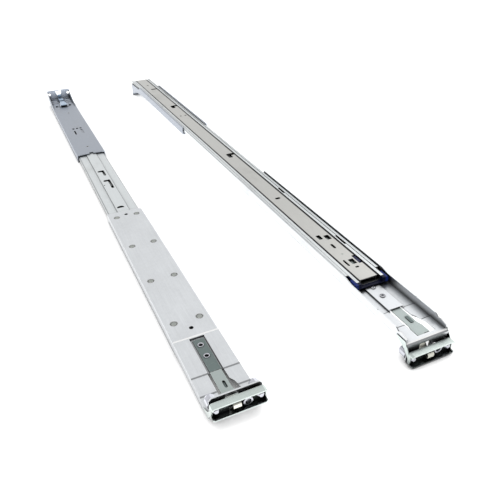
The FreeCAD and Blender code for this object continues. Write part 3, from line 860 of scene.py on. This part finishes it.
@dataclass
class FrontBracket(Rail):
    """The riveted front bracket with its cap, pins, bushing and latch.

    Attributes:
        rivet_pairs: Pairs of rivets along the plate.
        rivet_step: Distance from pair to pair.
        rivet_half: Half the distance between the two rivets of a pair.
        rivet_head: Radius of a head.
        rivet_crown: Crown, groove and rim of a head: share of its radius, height in mm.
        rivet_under: Underside of a head.
        rivet_shank: Radius and lower end of the shank.
        spring_top: Outer face of the latch spring.
        eyelet_places: The two eyelets along the rail.
        eyelet_bore: Inner radius at the lower end.
        eyelet_end: Lower end of an eyelet.
        eyelet_foot: Its foot: radius and height above the lower end, in mm.
        eyelet_rim: Its rolled rim: radius and height above the spring, in mm.
        stop_low: One corner of the dark tab behind the tongue's slot, which gives the slot painted
            shade.
        stop_high: The opposite corner.
        stop_corner: Radius of its corners.
    """

    rivet_pairs: int = 4
    rivet_step: float = 66.0 * MM
    rivet_half: float = 10.9 * MM
    rivet_head: float = 3.25 * MM
    rivet_crown: Profile = ((0.0, 0.16), (0.45, 0.14), (0.66, 0.06), (0.70, -0.40), (0.84, -0.40),
                            (0.87, 0.05), (0.94, 0.06), (0.96, -0.30), (1.0, -0.30))
    rivet_under: float = -1.1 * MM
    rivet_shank: Tuple[float, float] = (1.5 * MM, -3.35 * MM)
    spring_top: float = -0.9 * MM
    eyelet_places: Tuple[float, float] = (-229.9 * MM, -242.8 * MM)
    eyelet_bore: float = 1.25 * MM
    eyelet_end: float = -3.5 * MM
    eyelet_foot: Profile = ((1.25, 0.0), (2.1, 0.0), (2.1, 0.35), (1.5, 0.4))
    eyelet_rim: Profile = ((1.5, 0.0), (2.5, 0.0), (2.6, 0.2), (2.3, 0.45), (2.0, 0.5),
                           (1.75, 0.25), (1.4, -0.1))
    stop_low: Point = (-0.25 * MM, -278.9 * MM, -2.2 * MM)
    stop_high: Point = (2.55 * MM, -270.9 * MM, -1.66 * MM)
    stop_corner: float = 0.9 * MM

    def rivets(self) -> None:
        """Flush rivets, each with a shallow crown inside a pressed ring."""
        crown = [(share * self.rivet_head, height * MM) for share, height in self.rivet_crown]
        under = [(self.rivet_head, self.rivet_under), (0.0, self.rivet_under)]
        head = Lathe(crown + under).mesh("rivet")
        radius, end = self.rivet_shank
        shank = Lathe([(0.0, self.rivet_under), (radius, self.rivet_under),
                       (radius, end), (0.0, end)]).mesh("shank")
        placed = []
        for pair in range(self.rivet_pairs):
            for side in (-1.0, 1.0):
                spot = Vector((side * self.rivet_half, -pair * self.rivet_step, 0.0))
                placed += [(mesh, Matrix.Translation(spot)) for mesh in (head, shank)]
        self.add("rivet_heads", Coat.RIVET_STEEL, "slide_base", placed, ["bracket_rivets"])

    def eyelets(self) -> None:
        """Two tubular rivets with rolled rims that hold the latch spring."""
        foot = [(radius * MM, self.eyelet_end + height * MM) for radius, height in self.eyelet_foot]
        rim = [(radius * MM, self.spring_top + height * MM) for radius, height in self.eyelet_rim]
        mesh = Lathe(foot + rim + [(self.eyelet_bore, self.eyelet_end)]).mesh("eyelet")
        placed = [(mesh, Matrix.Translation(Vector((0.0, y, 0.0)))) for y in self.eyelet_places]
        self.add("spring_eyelets", Coat.BRIGHT_STEEL, "slide_base", placed, ["latch_rivets"])

    def stop(self) -> None:
        """The small dark plate behind the slot of the latch tongue: a guessed lanced tab, dark so
        that the slot shows painted shade.
        """
        mesh = Slab(self.stop_low, self.stop_high, self.stop_corner).mesh("stop")
        # dark tab, partly a guessed part, that gives the slot painted shade
        self.add("tongue_stop", Coat.SPRING_STEEL, "front_latch", [(mesh, Matrix.Identity(4))])

    def build(self) -> None:
        """Dresses and adds everything on the front bracket."""
        self.dress("front_bracket")
        self.dress("front_cap", CAP_ROUND)
        for name in ("pin_housings", "locating_pin_a", "locating_pin_b", "screw_bushing",
                     "latch_spring", "latch_rivets", "latch_tongue", "latch_hook",
                     "bracket_rivets"):
            self.dress(name)
        self.rivets()
        self.eyelets()
        self.stop()


@dataclass
class Slide(Rail):
    """The cabinet, intermediate and inner members with their balls.

    Attributes:
        ball_arcs: Facets of a ball from pole to pole.
        ball_sides: Facets round it.
        weld: Points closer than this are one.
    """

    ball_arcs: int = 12
    ball_sides: int = 20
    weld: float = 1e-6

    def bearings(self) -> None:
        """Round balls in the places of the CAD ones."""
        turns = [math.pi * arc / self.ball_arcs for arc in range(self.ball_arcs + 1)]
        inverse = self.place.inverted()
        for row in ("outer", "inner"):
            node = frame["nodes"][self.side.node(f"{row}_balls")]
            placed = []
            for centre, radius in self._ball_places(node):
                profile = [(radius * math.sin(turn), -radius * math.cos(turn)) for turn in turns]
                ball = Lathe(profile, self.ball_sides).mesh("ball")
                placed.append((ball, inverse @ Matrix.Translation(centre)))
            self.add(f"{row}_balls_round", Coat.BALL_STEEL, f"{row}_ball_cage", placed,
                     [f"{row}_balls"])

    def _ball_places(self, node: bpy.types.Object) -> List[Tuple[Vector, float]]:
        """Finds each ball of a CAD node.

        Args:
            node: The node of separate balls.

        Returns:
            Pairs of centre and radius.
        """
        work = bmesh.new()
        work.from_mesh(node.data)
        bmesh.ops.remove_doubles(work, verts=work.verts, dist=self.weld)
        seen: Set[bmesh.types.BMVert] = set()
        found = []
        for start in work.verts:
            if start in seen:
                continue
            stack = [start]
            group = []
            while stack:
                vert = stack.pop()
                if vert in seen:
                    continue
                seen.add(vert)
                group.append(vert.co.copy())
                stack.extend(edge.other_vert(vert) for edge in vert.link_edges)
            low = Vector([min(point[axis] for point in group) for axis in range(3)])
            high = Vector([max(point[axis] for point in group) for axis in range(3)])
            found.append((0.5 * (low + high), 0.5 * (high[2] - low[2])))
        work.free()
        return found

    def build(self) -> None:
        """Dresses and adds everything on the slide."""
        for name in ("cabinet_member", "outer_cage", "middle_member", "end_guide", "inner_cage",
                     "inner_member", "release_lever", "release_tab", "release_pivot",
                     "outer_balls", "inner_balls"):
            self.dress(name)
        self.bearings()


@dataclass
class RearBracket(Rail):
    """The sleeve with its flange and sprung latch."""

    def build(self) -> None:
        """Dresses everything on the rear bracket."""
        for name in ("rear_bracket", "guide_studs", "rear_latch", "rear_latch_pin"):
            self.dress(name)


# ------------------------------------------------------------------ studio
@dataclass(frozen=True)
class Lamp:
    """A soft square light that points at the middle of the pair."""

    name: str
    place: Point
    size: float
    power: float

    def build(self) -> None:
        """Hangs the light."""
        data = bpy.data.lights.new(self.name, "AREA")
        data.size = self.size
        data.energy = self.power
        thing = placed_in_scene(self.name, data)
        thing.location = self.place
        thing.rotation_euler = (-Vector(self.place)).to_track_quat("-Z", "Y").to_euler()


def grey(level: float) -> Colour:
    """A grey of one level."""
    return level, level, level


@dataclass(frozen=True)
class Studio:
    """Pale floor, soft sky and two large soft lights.

    Attributes:
        floor_size: Side of the floor.
        paper: Darkest and lightest level of the paper's fibre.
        contact: Level of the painted shadow on the floor right under a piece.
        reach: How far from a piece the painted shadow on the floor reaches.
        lift: How much the background adds to the bare floor; near a piece it fades, as painted
            shadow.
        bounce: Level of the floor as the pieces are lit by it.
        zenith: Level of the sky overhead.
        horizon: Level of the sky at the horizon.
        dome: Height from which the sky is as bright as overhead.
        lamps: The lights.
    """

    floor_size: float = 30.0
    paper: Tuple[float, float] = (0.78, 0.80)
    contact: float = 0.02
    reach: float = 14.0 * MM
    lift: float = 0.80
    bounce: float = 0.40
    zenith: float = 1.05
    horizon: float = 0.22
    dome: float = 0.55
    lamps: Tuple[Lamp, ...] = (Lamp("key", (-1.2, -0.6, 1.8), 1.6, 8.0),
                               Lamp("fill", (1.6, 0.9, 1.4), 1.2, 3.0))

    def floor(self) -> None:
        """A white sheet under the rails."""
        made = bmesh.new()
        half = 0.5 * self.floor_size
        made.faces.new([made.verts.new((x * half, y * half, 0.0))
                        for x, y in ((-1, -1), (1, -1), (1, 1), (-1, 1))])
        thing = placed_in_scene("floor", finished(made, "floor"))
        sheet = bpy.data.materials.new("floor_paper")
        sheet.use_nodes = True
        self._paper(Net(sheet.node_tree))
        thing.data.materials.append(sheet)

    def _paper(self, net: Net) -> None:
        """Fills the node tree of the floor.

        Args:
            net: The node tree.
        """
        darkest, lightest = (grey(level) for level in self.paper)
        white = net.tint(net.noise(PAPER_FIBRE), darkest, lightest)
        seen = net.backdrop()
        bare = net.openness(self.reach)
        # painted shadow on the floor under and beside a piece
        shown = net.tint(bare.above(0.05, 0.40), grey(self.contact), white)
        net.surface({
            "Base Color": net.tint(seen, grey(self.bounce), shown),
            "Roughness": 0.9,
            "Specular IOR Level": 0.0,
            # the background's glow fades near a piece, adding to the painted shadow
            "Emission Color": net.tint(bare ** 2.0 * seen * self.lift, grey(0.0), grey(1.0)),
            "Emission Strength": 1.0})

    def sky(self) -> None:
        """A soft dome, bright overhead and darker at the horizon, with a white backdrop."""
        world = bpy.data.worlds.new("studio")
        bpy.context.scene.world = world
        world.use_nodes = True
        net = Net(world.node_tree)
        height = net.share(Axis.Z)
        dome = self.horizon + height.above(0.0, self.dome) * (self.zenith - self.horizon)
        level = dome + net.backdrop() * (1.0 - dome)
        shader = net.node("ShaderNodeBackground", {},
                          {"Color": (*grey(1.0), 1.0), "Strength": level})
        net.node("ShaderNodeOutputWorld", {}, {"Surface": shader})

    def build(self) -> None:
        """Makes the whole studio."""
        self.floor()
        self.sky()
        for lamp in self.lamps:
            lamp.build()


@dataclass(frozen=True)
class Viewpoint:
    """The camera: where it stands, how it is turned and its lens."""

    place: Point = (-0.1626, -0.6196, 0.2864)
    right: Point = (0.9068, -0.4206, -0.0296)
    down: Point = (-0.2471, -0.4732, -0.8456)
    lens: float = 38.707
    sensor: float = 36.0
    nearest: float = 0.01
    farthest: float = 100.0

    def build(self) -> None:
        """Adds the camera."""
        data = bpy.data.cameras.new("camera")
        data.lens = self.lens
        data.sensor_width = self.sensor
        data.clip_start = self.nearest
        data.clip_end = self.farthest
        right = Vector(self.right).normalized()
        back = right.cross(-Vector(self.down).normalized()).normalized()
        turned = Matrix((right, back.cross(right), back)).transposed().to_4x4()
        thing = placed_in_scene("camera", data)
        thing.matrix_world = Matrix.Translation(Vector(self.place)) @ turned
        bpy.context.scene.camera = thing


def main() -> None:
    """Builds the pair, the studio and the camera."""
    bpy.context.scene.view_settings.view_transform = "Standard"
    for side in Side:
        for part in (FrontBracket, Slide, RearBracket):
            part(side).build()
    Studio().build()
    Viewpoint().build()


if __name__ == "__main__":
    main()
